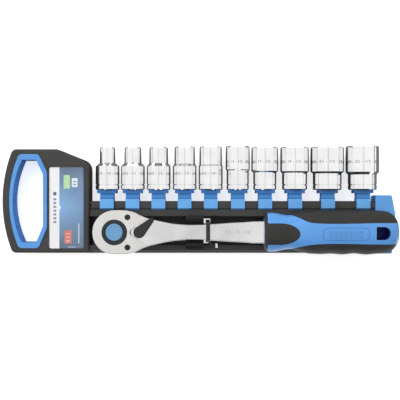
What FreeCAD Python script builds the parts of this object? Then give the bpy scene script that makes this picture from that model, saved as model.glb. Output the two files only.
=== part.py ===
import FreeCAD, Part
import math
import os
import re
import Sketcher
from FreeCAD import Placement, Rotation, Vector

# A half-inch-drive ratchet and ten sockets on a plastic carry rail, lying on its back.
# +X runs along the rail to the handle's end, +Y from the ratchet to the sockets, +Z up off
# the table. The origin is the middle of the object's base. Sizes are in millimetres.

DIMENSIONS = {
    # grip panel at the rail's left end
    "panel_left": -166.8, "panel_right": -97.9, "panel_top": 45.2, "panel_base": -47.6,
    "panel_slope_left": -126.7, "panel_slope_base": 33.6, "panel_high": 24.0,
    "panel_side_radius": 124.1, "panel_edge_round": 2.0, "panel_corner": 5.0,
    "panel_shoulder": 10.0,
    # rail section: a head that the clips ride on, a neck, and a channel for the ratchet
    "rail_right": 171.0, "rail_front": 21.0, "head_back": 12.0, "head_top": -1.2,
    "head_base": -7.4, "neck_base": -9.3, "neck_back": 14.0, "neck_front": 19.0,
    "channel_top": -15.5, "channel_base": -40.6, "rail_base": -47.8, "floor_top": 5.0,
    "floor_recess": 2.0, "rail_bevel": 2.5, "lip_bevel": 0.9,
    "core_wide": 2.8, "core_long": 20.0, "core_deep": 16.0, "core_pitch": 26.0,
    # opening of the grip, its blue liner and the label beside it
    "hole_right": -139.1, "hole_corner_right": -145.2, "hole_corner_left": -157.6,
    "hole_top": 35.3, "hole_base": -38.1, "hole_side_top": 22.9, "hole_side_base": -23.5,
    "liner_wall": 1.6, "liner_back": 5.0, "flange_side": 3.7, "flange_end": 5.3,
    "flange_thick": 1.4,
    "label_left": -133.7, "label_right": -103.0, "label_top": 29.1, "label_base": -43.6,
    "label_seat": 1.3, "card_thick": 0.4, "cover_thick": 0.9, "label_round": 1.8,
    # blue cap over the rail's right end
    "cap_left": 157.8, "cap_right": 175.8, "cap_top": 4.0, "cap_base": -48.3,
    "cap_front": 22.5, "cap_shoulder": 172.6, "cap_gap": 0.12, "cap_trough_top": -13.6,
    "cap_trough_base": -43.6, "cap_trough_floor": 18.4,
    # socket clips, measured from the sockets' axis height
    "axis_high": 16.5, "foot_wide": 12.3, "foot_top": 1.1, "foot_skin": 2.0, "slide_gap": 0.2,
    "post_wide": 12.0, "post_deep": 11.4, "collar_base": 5.8, "collar_top": 8.6,
    "collar_wide": 17.1, "collar_deep": 16.0, "stud_side": 12.3, "stud_long": 11.0,
    "stud_slot": 1.6,
    # sockets
    "drive_square": 12.8, "drive_deep": 15.0, "socket_long": 38.3, "socket_seat": 8.8,
    "groove_high": 4.6, "groove_wide": 1.1, "groove_deep": 0.55, "socket_chamfer": 0.8,
    # ratchet: the tool axis and the head's centre
    "tool_side": -28.6, "tool_high": 33.5, "gear_centre": -74.0, "head_round": 19.3,
    "head_low": 26.0, "plate_seat": 37.5, "plate_top": 40.5, "shank_low": 28.5,
    "shank_high": 38.5, "shank_end": 58.0, "tang_end": 132.0, "tang_wide": 9.0,
    "tang_thick": 7.0,
    # drive gear, its collar and the quick release
    "gear_tip": 14.0, "gear_teeth": 72.0, "tooth_deep": 0.7, "gear_low": 28.7,
    "gear_high": 37.3, "hub_round": 11.1, "hub_top": 38.4, "square_side": 12.7,
    "square_low": 12.5, "run_gap": 0.05, "collar_high": 41.0, "collar_bore": 7.8,
    "button_round": 7.5, "button_top": 42.6, "button_cap": 1.9, "button_hub": 4.8,
    "button_hub_low": 37.4, "spring_floor": 32.0, "spring_bore": 5.0,
    "pin_round": 2.4, "pin_low": 16.2, "pin_waist": 1.4, "pin_cone_low": 18.7,
    "pin_cone_high": 20.5, "ball_round": 2.2, "ball_high": 18.5, "ball_out": 4.85,
    # pawl, selector lever and its sprung plunger
    "lever_out": 21.8, "lever_round": 5.1, "lever_tip": 15.0, "lever_tip_round": 2.2,
    "lever_low": 38.8, "lever_high": 42.4, "lever_shaft": 2.6, "lever_shaft_low": 30.0,
    "pawl_outer": 18.2, "pawl_inner": 14.25, "notch_round": 5.6, "bay_gap": 0.55, "notch_half_angle": 35.0,
    "cover_screw_out": 17.5, "cover_screw_angle": 49.0, "screw_head": 2.5, "screw_shank": 1.25,
    # handle
    "handle_start": 57.3, "grip_wall": 3.2, "spine_shift": -1.1, "emboss_left": 107.5,
    "emboss_right": 148.2, "emboss_high": 5.7, "emboss_deep": 0.5, "emboss_line": 0.8,
    "hang_left": 153.9, "hang_right": 166.5, "hang_wide": 11.4, "hang_shift": -0.8,
    "seam_angle": -73.0, "handle_square": 0.88, "handle_rings": 34.0,
    "scallop_start": 46.0, "scallop_end": 112.0, "scallop_pitch": 22.0, "scallop_deep": 0.5,
    "pad_start": 60.0, "pad_nose": 88.0, "pad_half": 9.4, "pad_taper": 17.0, "dot_round": 0.8,
    # clip that holds the shank, and the cable tie
    "jaw_left": -11.4, "jaw_right": 4.2, "jaw_out": 14.6, "jaw_top": 38.0, "jaw_lip": 7.3,
    "saddle_top": 28.2, "tie_left": 6.2, "tie_right": 9.8, "tie_thick": 1.1, "tie_inner": 7.7,
}

# nominal size, hex-end radius, drive-end radius, shoulder height above the socket's foot,
# shoulder length, place along the rail, extra length
SOCKETS = [
    (10, 7.05, 10.6, 21.2, 2.9, -82.4, 0.0),
    (11, 7.6, 10.6, 21.2, 2.9, -59.5, 0.0),
    (12, 8.45, 10.6, 21.2, 2.6, -36.3, 0.0),
    (13, 9.2, 10.6, 21.2, 2.2, -12.9, 0.6),
    (14, 10.1, 10.75, 21.2, 1.6, 10.5, 0.6),
    (15, 10.8, 9.95, 17.4, 0.8, 34.8, 1.0),
    (17, 12.05, 10.3, 15.6, 1.3, 59.2, 0.0),
    (19, 12.8, 11.2, 15.2, 1.4, 86.0, 0.0),
    (21, 15.0, 12.8, 14.6, 1.8, 115.4, 0.2),
    (22, 14.85, 12.8, 13.6, 2.4, 147.0, 1.0),
]

doc = FreeCAD.newDocument("socket_rail_set")
sheet = doc.addObject("Spreadsheet::Sheet", "dims")
for row, (alias, number) in enumerate(DIMENSIONS.items(), start=1):
    sheet.set(f"A{row}", alias)
    sheet.set(f"B{row}", str(number))
    sheet.setAlias(f"B{row}", alias)
doc.recompute()


# ---------------------------------------------------------------- helpers

def bound(text):
    """An expression on the sheet, from text that names its cells by alias alone."""
    def cell(match):
        word = match.group()
        return f"dims.{word}" if word in DIMENSIONS else word
    return re.sub(r"[a-z_]+", cell, str(text))


def size(text):
    """The number that an expression works out to."""
    return float(sheet.evalExpression(bound(text)))


def new_body(label, place=None):
    body = doc.addObject("PartDesign::Body", label)
    body.Label = label
    if place:
        body.Placement = place
    return body


def new_sketch(body, name, role="XY_Plane", offset=None):
    """A sketch on one of the body's own origin planes, raised along its normal by offset."""
    sketch = body.newObject("Sketcher::SketchObject", name)
    plane = [f for f in body.Origin.OriginFeatures if f.Role == role][0]
    sketch.AttachmentSupport = [(plane, "")]
    sketch.MapMode = "FlatFace"
    if offset is not None:
        sketch.AttachmentOffset = Placement(Vector(0, 0, size(offset)), Rotation())
        sketch.setExpression("AttachmentOffset.Base.z", bound(offset))
    return sketch


def constrain(sketch, constraint, text):
    index = sketch.addConstraint(constraint)
    sketch.setExpression(f"Constraints[{index}]", bound(text))


def outline(sketch, points):
    """A closed loop through (x, y) expressions; (x, y, radius) bows the edge that follows
    the point outwards, to that radius."""
    corners = [Vector(size(p[0]), size(p[1]), 0) for p in points]
    first = sketch.GeometryCount
    count = len(points)
    area = sum(corners[i - 1].x * corners[i].y - corners[i].x * corners[i - 1].y
               for i in range(count))
    outward = -1 if area > 0 else 1
    starts = []
    for i, point in enumerate(points):
        a = corners[i]
        b = corners[(i + 1) % count]
        if len(point) == 2:
            sketch.addGeometry(Part.LineSegment(a, b))
            starts.append((1, 2))
            continue
        radius = size(point[2])
        half = (b - a).Length / 2
        bow = Vector(-(b - a).y, (b - a).x, 0).normalize() * outward
        centre = (a + b) / 2 - bow * math.sqrt(radius ** 2 - half ** 2)
        whole = Part.Circle(centre, Vector(0, 0, 1), radius)
        ends = (a, b) if outward < 0 else (b, a)
        turns = [math.atan2(end.y - centre.y, end.x - centre.x) for end in ends]
        sketch.addGeometry(Part.ArcOfCircle(whole, turns[0], turns[1]))
        starts.append((1, 2) if outward < 0 else (2, 1))
    for i in range(count):
        follow = (i + 1) % count
        sketch.addConstraint(Sketcher.Constraint(
            "Coincident", first + i, starts[i][1], first + follow, starts[follow][0]))
    for i, point in enumerate(points):
        start = starts[i][0]
        for kind, text, number in (("DistanceX", point[0], corners[i].x),
                                   ("DistanceY", point[1], corners[i].y)):
            constrain(sketch, Sketcher.Constraint(kind, -1, 1, first + i, start, number), text)
        if len(point) == 3:
            constrain(sketch, Sketcher.Constraint("Radius", first + i, size(point[2])), point[2])


def rectangle(sketch, x_low, y_low, x_high, y_high):
    outline(sketch, [(x_low, y_low), (x_high, y_low), (x_high, y_high), (x_low, y_high)])


def circle(sketch, x, y, radius):
    index = sketch.addGeometry(Part.Circle(Vector(size(x), size(y), 0), Vector(0, 0, 1),
                                           size(radius)))
    constrain(sketch, Sketcher.Constraint("DistanceX", -1, 1, index, 3, size(x)), x)
    constrain(sketch, Sketcher.Constraint("DistanceY", -1, 1, index, 3, size(y)), y)
    constrain(sketch, Sketcher.Constraint("Radius", index, size(radius)), radius)


def feature(body, kind, sketch, length, symmetric=False, reverse=False):
    made = body.newObject(f"PartDesign::{kind}", f"{sketch.Name}_{kind.lower()}")
    made.Profile = sketch
    made.SideType = "Symmetric" if symmetric else "One side"
    made.Reversed = reverse
    made.setExpression("Length", bound(length))
    before = body.Shape.Volume if kind == "Pocket" else 0
    doc.recompute()
    if kind == "Pocket" and body.Shape.Volume > before - 1e-6:
        raise RuntimeError(f"{sketch.Name} cuts nothing")
    return made


def pad(body, sketch, length, symmetric=False, reverse=False):
    return feature(body, "Pad", sketch, length, symmetric, reverse)


def pocket(body, sketch, length, symmetric=False, reverse=False):
    return feature(body, "Pocket", sketch, length, symmetric, reverse)


def dress(body, kind, amount, test):
    """A fillet or chamfer on the edges that test picks out."""
    names = [f"Edge{i}" for i, edge in enumerate(body.Shape.Edges, start=1) if test(edge)]
    base = body.Tip
    made = body.newObject(f"PartDesign::{kind}", f"{body.Name}_{kind.lower()}")
    made.Base = (base, names)
    made.setExpression("Radius" if kind == "Fillet" else "Size", bound(amount))
    body.Tip = made
    doc.recompute()
    return made


def upright(edge):
    box = edge.BoundBox
    return box.XLength < 1e-4 and box.YLength < 1e-4


def flat_at(height):
    return lambda edge: edge.BoundBox.ZLength < 1e-4 and abs(edge.BoundBox.ZMin - height) < 1e-4


def solid_part(label, shape, place=None):
    """A sub-part whose shape is set from functions that read the sheet."""
    part = doc.addObject("Part::Feature", label)
    part.Label = label
    part.Shape = shape
    if place:
        part.Placement = place.multiply(shape.Placement)
    return part


parts = []


# ---------------------------------------------------------------- carry rail

def rail_section(sketch, gap):
    """The rail's cross-section, looking along X, swollen by gap on its outer faces."""
    outline(sketch, [
        (f"head_top + {gap}", f"rail_front - lip_bevel + {gap}"),
        (f"head_top + {gap}", f"head_back - {gap}"),
        (f"head_base - {gap}", f"head_back - {gap}"),
        (f"head_base - {gap}", f"neck_back - {gap}"),
        (f"neck_base + {gap}", f"neck_back - {gap}"),
        (f"neck_base + {gap}", f"0 - {gap}"),
        (f"rail_base - {gap}", f"0 - {gap}"),
        (f"rail_base - {gap}", f"rail_front - rail_bevel + {gap}"),
        (f"rail_base + rail_bevel - {gap}", f"rail_front + {gap}"),
        (f"channel_base + {gap}", f"rail_front + {gap}"),
        (f"channel_base + {gap}", f"floor_top + {gap}"),
        (f"channel_top - {gap}", f"floor_top + {gap}"),
        (f"channel_top - {gap}", f"rail_front - lip_bevel + {gap}"),
        (f"channel_top + lip_bevel - {gap}", f"rail_front + {gap}"),
        (f"neck_base + {gap}", f"rail_front + {gap}"),
        (f"neck_base + {gap}", f"neck_front + {gap}"),
        (f"head_base - {gap}", f"neck_front + {gap}"),
        (f"head_base - {gap}", f"rail_front + {gap}"),
        (f"head_top - lip_bevel + {gap}", f"rail_front + {gap}"),
    ])


def grip_outline(sketch, side, end, radius):
    """The D shape of the carry opening, grown by side along X and by end along Y."""
    outline(sketch, [
        (f"hole_corner_left - 0.8 * ({side})", f"hole_top + {end}"),
        (f"hole_corner_right + 0.6 * ({side})", f"hole_top + {end}"),
        (f"hole_right + {side}", f"hole_side_top + 0.3 * ({end})"),
        (f"hole_right + {side}", f"hole_side_base - 0.3 * ({end})"),
        (f"hole_corner_right + 0.6 * ({side})", f"hole_base - ({end})"),
        (f"hole_corner_left - 0.8 * ({side})", f"hole_base - ({end})", radius),
    ])


def rack_body():
    body = new_body("rack_body")
    sketch = new_sketch(body, "rack_panel")
    outline(sketch, [
        ("panel_left", "panel_top"), ("panel_slope_left", "panel_top"),
        ("panel_right", "panel_slope_base"), ("panel_right", "panel_base"),
        ("panel_left", "panel_base", "panel_side_radius")])
    pad(body, sketch, "panel_high")
    right = size("panel_right")
    dress(body, "Fillet", "panel_corner", lambda e: upright(e) and e.BoundBox.XMax < right - 1)
    dress(body, "Fillet", "panel_shoulder", lambda e: upright(e) and e.BoundBox.YMin > 0
          and abs(e.BoundBox.XMax - right) < 0.1)
    dress(body, "Fillet", "panel_edge_round", flat_at(size("panel_high")))

    sketch = new_sketch(body, "rack_rail", "YZ_Plane", "panel_right - 3.0")
    rail_section(sketch, "0")
    pad(body, sketch, "rail_right - panel_right + 3.0")

    sketch = new_sketch(body, "rack_opening", offset="panel_high")
    grip_outline(sketch, "liner_wall", "liner_wall", "86.9")
    pocket(body, sketch, "panel_high")

    sketch = new_sketch(body, "rack_label_seat", offset="panel_high")
    rectangle(sketch, "label_left - 0.2", "label_base - 0.2", "label_right + 0.2",
              "label_top + 0.2")
    pocket(body, sketch, "label_seat")

    sketch = new_sketch(body, "rack_panel_core")
    rectangle(sketch, "label_left + 2.0", "label_base + 1.5", "label_right", "label_top")
    pocket(body, sketch, "panel_high - label_seat - 2.4", reverse=True)

    sketch = new_sketch(body, "rack_floor_recess")
    rectangle(sketch, "panel_right + 6.0", "channel_base + 2.0", "rail_right - 6.0",
              "channel_top - 2.0")
    pocket(body, sketch, "floor_recess", reverse=True)

    sketch = new_sketch(body, "rack_wall_core")
    for middle in ("(channel_top + neck_base) / 2", "(channel_base + rail_base) / 2"):
        rectangle(sketch, "panel_right + 6.0", f"{middle} - core_wide / 2",
                  "panel_right + 6.0 + core_long", f"{middle} + core_wide / 2")
    cores = pocket(body, sketch, "core_deep", reverse=True)
    pattern = body.newObject("PartDesign::LinearPattern", "rack_wall_cores")
    pattern.Originals = [cores]
    pattern.Direction = ([f for f in body.Origin.OriginFeatures if f.Role == "X_Axis"][0], [""])
    pattern.Mode = "Spacing"
    pattern.Occurrences = 10
    pattern.setExpression("Offset", bound("core_pitch"))
    body.Tip = pattern
    doc.recompute()

    sketch = new_sketch(body, "rack_tie_slots", offset="rail_front")
    rectangle(sketch, "tie_left - 2.0", "tool_side + 6.9", "tie_right + 0.5",
              "tool_side + 11.4")
    rectangle(sketch, "tie_left - 2.0", "tool_side - 11.4", "tie_right + 0.5",
              "tool_side - 6.9")
    rectangle(sketch, "tie_right + 5.0", "channel_base - 2.8", "tie_right + 7.2",
              "channel_base + 0.5")
    pocket(body, sketch, "rail_front")

    sketch = new_sketch(body, "rack_tie_pocket", offset="rail_front")
    rectangle(sketch, "tie_right + 1.0", "channel_top - 0.5", "tie_right + 6.6",
              "channel_top + 1.3")
    pocket(body, sketch, "6.0")

    sketch = new_sketch(body, "rack_end_gap", offset="rail_front")
    rectangle(sketch, "panel_right + 0.2", "head_base + 0.6", "panel_right + 1.4",
              "head_top - 2.6")
    pocket(body, sketch, "5.0")
    parts.append(body)


def carry_handle_liner():
    body = new_body("carry_handle_liner")
    sketch = new_sketch(body, "liner_flange", offset="panel_high")
    grip_outline(sketch, "flange_side", "flange_end", "107.0")
    pad(body, sketch, "flange_thick")
    dress(body, "Fillet", "4.5", upright)
    sketch = new_sketch(body, "liner_sleeve", offset="liner_back")
    grip_outline(sketch, "liner_wall - 0.05", "liner_wall - 0.05", "86.85")
    pad(body, sketch, "panel_high - liner_back")
    sketch = new_sketch(body, "liner_hole", offset="panel_high + flange_thick")
    grip_outline(sketch, "0", "0", "85.3")
    pocket(body, sketch, "panel_high + flange_thick")
    dress(body, "Fillet", "3.0", lambda e: upright(e) and e.BoundBox.ZLength > 18
          and abs(e.BoundBox.XMin - size("hole_right")) < 0.1)
    top = size("panel_high + flange_thick")
    dress(body, "Fillet", "0.6", flat_at(top))
    parts.append(body)


def label():
    body = new_body("label_card")
    sketch = new_sketch(body, "card_face", offset="panel_high - label_seat")
    rectangle(sketch, "label_left", "label_base", "label_right", "label_top")
    pad(body, sketch, "card_thick")
    dress(body, "Fillet", "label_round", upright)
    parts.append(body)
    body = new_body("label_cover")
    sketch = new_sketch(body, "cover_face", offset="panel_high - label_seat + card_thick")
    rectangle(sketch, "label_left", "label_base", "label_right", "label_top")
    pad(body, sketch, "cover_thick")
    dress(body, "Fillet", "label_round", upright)
    top = size("panel_high - label_seat + card_thick + cover_thick")
    dress(body, "Fillet", "0.3", flat_at(top))
    parts.append(body)


def rail_end_cap():
    body = new_body("rail_end_cap")
    sketch = new_sketch(body, "cap_block")
    outline(sketch, [
        ("cap_left", "cap_top"), ("cap_left", "cap_base"), ("cap_shoulder", "cap_base"),
        ("cap_right", "tool_side"), ("cap_right", "cap_trough_top"),
        ("cap_shoulder", "cap_top")])
    pad(body, sketch, "cap_front")
    dress(body, "Fillet", "1.8", upright)
    dress(body, "Fillet", "1.2", flat_at(size("cap_front")))
    sketch = new_sketch(body, "cap_socket", "YZ_Plane", "cap_left - 1.0")
    rail_section(sketch, "cap_gap")
    pocket(body, sketch, "rail_right - cap_left + 1.2", reverse=True)
    sketch = new_sketch(body, "cap_trough", "YZ_Plane", "cap_left - 1.0")
    outline(sketch, [
        ("cap_trough_base", "cap_front + 1.0"), ("cap_trough_base + 4.5", "cap_trough_floor"),
        ("cap_trough_top - 4.5", "cap_trough_floor"), ("cap_trough_top", "cap_front + 1.0")])
    pocket(body, sketch, "cap_right - cap_left + 2.0", reverse=True)
    parts.append(body)


def ratchet_clip():
    """Saddle and two jaws; the jaws' sloping lips guide the shank in."""
    body = new_body("ratchet_clip")
    sketch = new_sketch(body, "jaw_section", "YZ_Plane", "jaw_left")
    half = [
        ("channel_top - tool_side - 0.3", "floor_top"),
        ("channel_top - tool_side - 0.3", "rail_front + 0.2"),
        ("jaw_out", "rail_front + 0.2"), ("jaw_out", "jaw_top - 1.0"),
        ("jaw_out - 2.8", "jaw_top"), ("jaw_lip", "jaw_top - 3.6"), ("jaw_lip", "saddle_top")]
    low = [(f"tool_side - ({y})", z) for y, z in reversed(half)]
    low[-1] = ("channel_base + 0.3", "floor_top")
    low[-2] = ("channel_base + 0.3", "rail_front + 0.2")
    outline(sketch, [(f"tool_side + {y}", z) for y, z in half] + low)
    pad(body, sketch, "jaw_right - jaw_left")
    sketch = new_sketch(body, "jaw_hollow", "YZ_Plane", "jaw_left")
    rectangle(sketch, "tool_side - 6.0", "floor_top + 2.0", "tool_side + 6.0",
              "saddle_top - 2.5")
    pocket(body, sketch, "jaw_right - jaw_left", reverse=True)
    parts.append(body)


def cable_tie():
    body = new_body("tie_loop")
    sketch = new_sketch(body, "tie_arch", "YZ_Plane", "tie_left")
    outer = "tie_inner + tie_thick"
    outline(sketch, [
        (f"tool_side + {outer}", "2.4"), (f"tool_side + {outer}", "shank_high - 0.6"),
        (f"tool_side + {outer} - 1.6", "shank_high + 0.1 + tie_thick"),
        (f"tool_side - ({outer}) + 1.6", "shank_high + 0.1 + tie_thick"),
        (f"tool_side - ({outer})", "shank_high - 0.6"), (f"tool_side - ({outer})", "2.4"),
        ("tool_side - tie_inner", "2.4"), ("tool_side - tie_inner", "shank_high - 0.9"),
        ("tool_side - tie_inner + 1.0", "shank_high + 0.1"),
        ("tool_side + tie_inner - 1.0", "shank_high + 0.1"),
        ("tool_side + tie_inner", "shank_high - 0.9"), ("tool_side + tie_inner", "2.4")])
    pad(body, sketch, "tie_right - tie_left")
    sketch = new_sketch(body, "tie_tail", offset="rail_front + 0.4")
    outline(sketch, [
        ("tie_left + 0.6", f"tool_side - ({outer}) + 0.4"),
        ("tie_right + 2.4", "channel_base - 2.4"), ("tie_right + 3.6", "channel_base + 0.4"),
        ("tie_right", f"tool_side - ({outer}) + 0.4")])
    pad(body, sketch, "tie_thick")
    parts.append(body)

    body = new_body("tie_back")
    sketch = new_sketch(body, "tie_run", offset="0.3")
    rectangle(sketch, "tie_left", "tool_side - 10.2", "tie_right", "tool_side + 10.2")
    pad(body, sketch, "tie_thick")
    sketch = new_sketch(body, "tie_lock", offset="0.2")
    rectangle(sketch, "tie_left - 1.3", "tool_side - 3.4", "tie_right + 1.3",
              "tool_side + 2.6")
    pad(body, sketch, "1.6")
    parts.append(body)


# ---------------------------------------------------------------- clips and sockets

def socket_clip(nominal, place_x):
    """A clip that wraps the rail's head and carries a split square stud."""
    name = f"socket_clip_{nominal}"
    body = new_body(name, Placement(Vector(place_x, 0, size("axis_high")), Rotation()))
    sketch = new_sketch(body, f"{name}_foot", "YZ_Plane")
    front = "rail_front - axis_high + slide_gap"
    back = "head_back - axis_high - slide_gap"
    hook_front = "neck_front - axis_high + slide_gap"
    hook_back = "neck_back - axis_high - slide_gap"
    hook_top = "head_base - slide_gap"
    outline(sketch, [
        ("foot_top", f"{front} + foot_skin"), (hook_top, f"{front} + foot_skin"),
        (f"{hook_top} - 1.4", front), (f"{hook_top} - 1.4", hook_front),
        (hook_top, hook_front), (hook_top, front), ("head_top + slide_gap", front),
        ("head_top + slide_gap", back), (hook_top, back), (hook_top, hook_back),
        (f"{hook_top} - 1.4", hook_back), (f"{hook_top} - 1.4", back),
        (hook_top, f"{back} - foot_skin"), ("foot_top", f"{back} - foot_skin")])
    pad(body, sketch, "foot_wide", symmetric=True)
    for step, low, high, wide, deep in (
            ("post", "foot_top", "collar_base", "post_wide", "post_deep"),
            ("collar", "collar_base", "collar_top", "collar_wide", "collar_deep"),
            ("stud", "collar_top", "collar_top + stud_long", "stud_side", "stud_side")):
        sketch = new_sketch(body, f"{name}_{step}")
        rectangle(sketch, f"-{wide} / 2", low, f"{wide} / 2", high)
        pad(body, sketch, deep, symmetric=True)
    sketch = new_sketch(body, f"{name}_split")
    rectangle(sketch, "-stud_slot / 2", "collar_top + 2.0", "stud_slot / 2",
              "collar_top + stud_long + 1.0")
    pocket(body, sketch, "stud_side + 2.0", symmetric=True)
    sketch = new_sketch(body, f"{name}_mark", offset=f"{front} + foot_skin")
    circle(sketch, "4.2", "-4.0", "0.6")
    pocket(body, sketch, "0.3")
    stud_end = size("collar_top + stud_long")
    dress(body, "Chamfer", "0.9", lambda e: abs(e.BoundBox.YMin - stud_end) < 1e-4
          and e.BoundBox.ZLength > 1 or abs(e.BoundBox.YMin - stud_end) < 1e-4
          and abs(abs(e.BoundBox.ZMin) - size("stud_side") / 2) < 1e-4)
    parts.append(body)


def socket(nominal, hex_radius, drive_radius, shoulder, slope, place_x, extra):
    """A turned blank with a hexagon in its nose and a half-inch square in its foot."""
    name = f"socket_{nominal}"
    stand = Placement(Vector(place_x, size("socket_seat"), size("axis_high")),
                      Rotation(Vector(1, 0, 0), -90))
    body = new_body(name, stand)
    top = f"(socket_long + {extra})"
    sketch = new_sketch(body, f"{name}_profile", "XZ_Plane")
    cut = "socket_chamfer"
    outline(sketch, [
        ("0", "0"), (f"{drive_radius} - {cut}", "0"), (f"{drive_radius}", cut),
        (f"{drive_radius}", "groove_high - groove_wide / 2"),
        (f"{drive_radius} - groove_deep", "groove_high - groove_wide / 4"),
        (f"{drive_radius} - groove_deep", "groove_high + groove_wide / 4"),
        (f"{drive_radius}", "groove_high + groove_wide / 2"),
        (f"{drive_radius}", f"{shoulder}"), (f"{hex_radius}", f"{shoulder} + {slope}"),
        (f"{hex_radius}", f"{top} - {cut}"), (f"{hex_radius} - {cut}", top), ("0", top)])
    turned = body.newObject("PartDesign::Revolution", f"{name}_turned")
    turned.Profile = sketch
    turned.ReferenceAxis = (sketch, ["V_Axis"])
    turned.Angle = 360.0
    doc.recompute()
    half_flat = nominal / 2 + 0.1
    corner = half_flat / math.cos(math.radians(30))
    sketch = new_sketch(body, f"{name}_hexagon", offset=top)
    outline(sketch, [(f"{corner * math.cos(math.radians(60 * k)):.4f}",
                      f"{corner * math.sin(math.radians(60 * k)):.4f}") for k in range(6)])
    pocket(body, sketch, f"{top} - drive_deep - 3.0")
    bore = min(half_flat - 0.6, 6.0)
    sketch = new_sketch(body, f"{name}_bore", offset=top)
    circle(sketch, "0", "0", f"{bore}")
    pocket(body, sketch, f"{top}")
    sketch = new_sketch(body, f"{name}_square")
    rectangle(sketch, "-drive_square / 2", "-drive_square / 2", "drive_square / 2",
              "drive_square / 2")
    pocket(body, sketch, "drive_deep", reverse=True)
    parts.append(body)


# ---------------------------------------------------------------- ratchet

def prism(points, low, high):
    wire = Part.makePolygon([Vector(x, y, low) for x, y in points + points[:1]])
    return Part.Face(wire).extrude(Vector(0, 0, high - low))


def post(radius, low, high, x, y):
    return Part.makeCylinder(radius, high - low, Vector(x, y, low))


def tool_edge(side):
    """One side of the ratchet's plan outline, from the head's far left to the shank's end."""
    axis = size("tool_side")
    centre = size("gear_centre")
    radius = size("head_round")
    left = Vector(centre - radius, axis, 0)
    slant = math.radians(45)
    middle = Vector(centre - radius * math.cos(slant), axis + side * radius * math.sin(slant), 0)
    crown = Vector(centre, axis + side * radius, 0)
    arc = Part.Arc(left, middle, crown).toShape()
    half_widths = [(0, radius), (9, 19.2), (16.5, 17.8), (24, 14.2), (32, 11.5), (42, 9.2),
                   (54, 7.2), (68, 6.6), (86, 7.2), (104, 8.4), (119, 9.3)]
    points = [Vector(centre + dx, axis + side * half, 0) for dx, half in half_widths]
    points.append(Vector(size("shank_end"), axis + side * 9.6, 0))
    curve = Part.BSplineCurve()
    curve.interpolate(Points=points, InitialTangent=Vector(1, 0, 0),
                      FinalTangent=Vector(1, 0, 0))
    return [arc, curve.toShape()]


def tool_plan(low, high):
    upper = tool_edge(1)
    lower = tool_edge(-1)
    end = Part.makeLine(upper[1].Vertexes[-1].Point, lower[1].Vertexes[-1].Point)
    wire = Part.Wire(Part.__sortEdges__(upper + [end] + lower))
    face = Part.Face(wire)
    face.translate(Vector(0, 0, low))
    return face.extrude(Vector(0, 0, high - low))


def notch(low, high, grow=0.0):
    """The V-shaped bay, open to the right, that the selector lever swings in."""
    axis = size("tool_side")
    pivot = size("gear_centre + lever_out")
    angle = math.radians(size("notch_half_angle"))
    apex = pivot - (size("notch_round") + grow) / math.sin(angle)
    reach = 60.0
    rise = reach * math.tan(angle)
    wedge = prism([(apex, axis), (apex + reach, axis - rise), (apex + reach, axis + rise)],
                  low, high)
    corner = [e for e in wedge.Edges if upright(e) and abs(e.BoundBox.XMin - apex) < 1e-3]
    return wedge.makeFillet(3.0, corner)


def screw_places():
    axis = size("tool_side")
    centre = size("gear_centre")
    out = size("cover_screw_out")
    angle = math.radians(size("cover_screw_angle"))
    return [(centre + out * math.cos(angle), axis + side * out * math.sin(angle))
            for side in (1, -1)]


def sector(radius_in, radius_out, half_angle, turn, low, high):
    """A ring segment about the gear's axis, half_angle each side of turn (degrees)."""
    axis = size("tool_side")
    centre = size("gear_centre")
    ring = post(radius_out, low, high, centre, axis).cut(post(radius_in, low, high, centre, axis))
    reach = radius_out * 3
    edges = [turn - half_angle, turn, turn + half_angle]
    fan = [(centre, axis)]
    for degrees in edges:
        a = math.radians(degrees)
        fan.append((centre + reach * math.cos(a), axis + reach * math.sin(a)))
    return ring.common(prism(fan, low, high))


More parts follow.
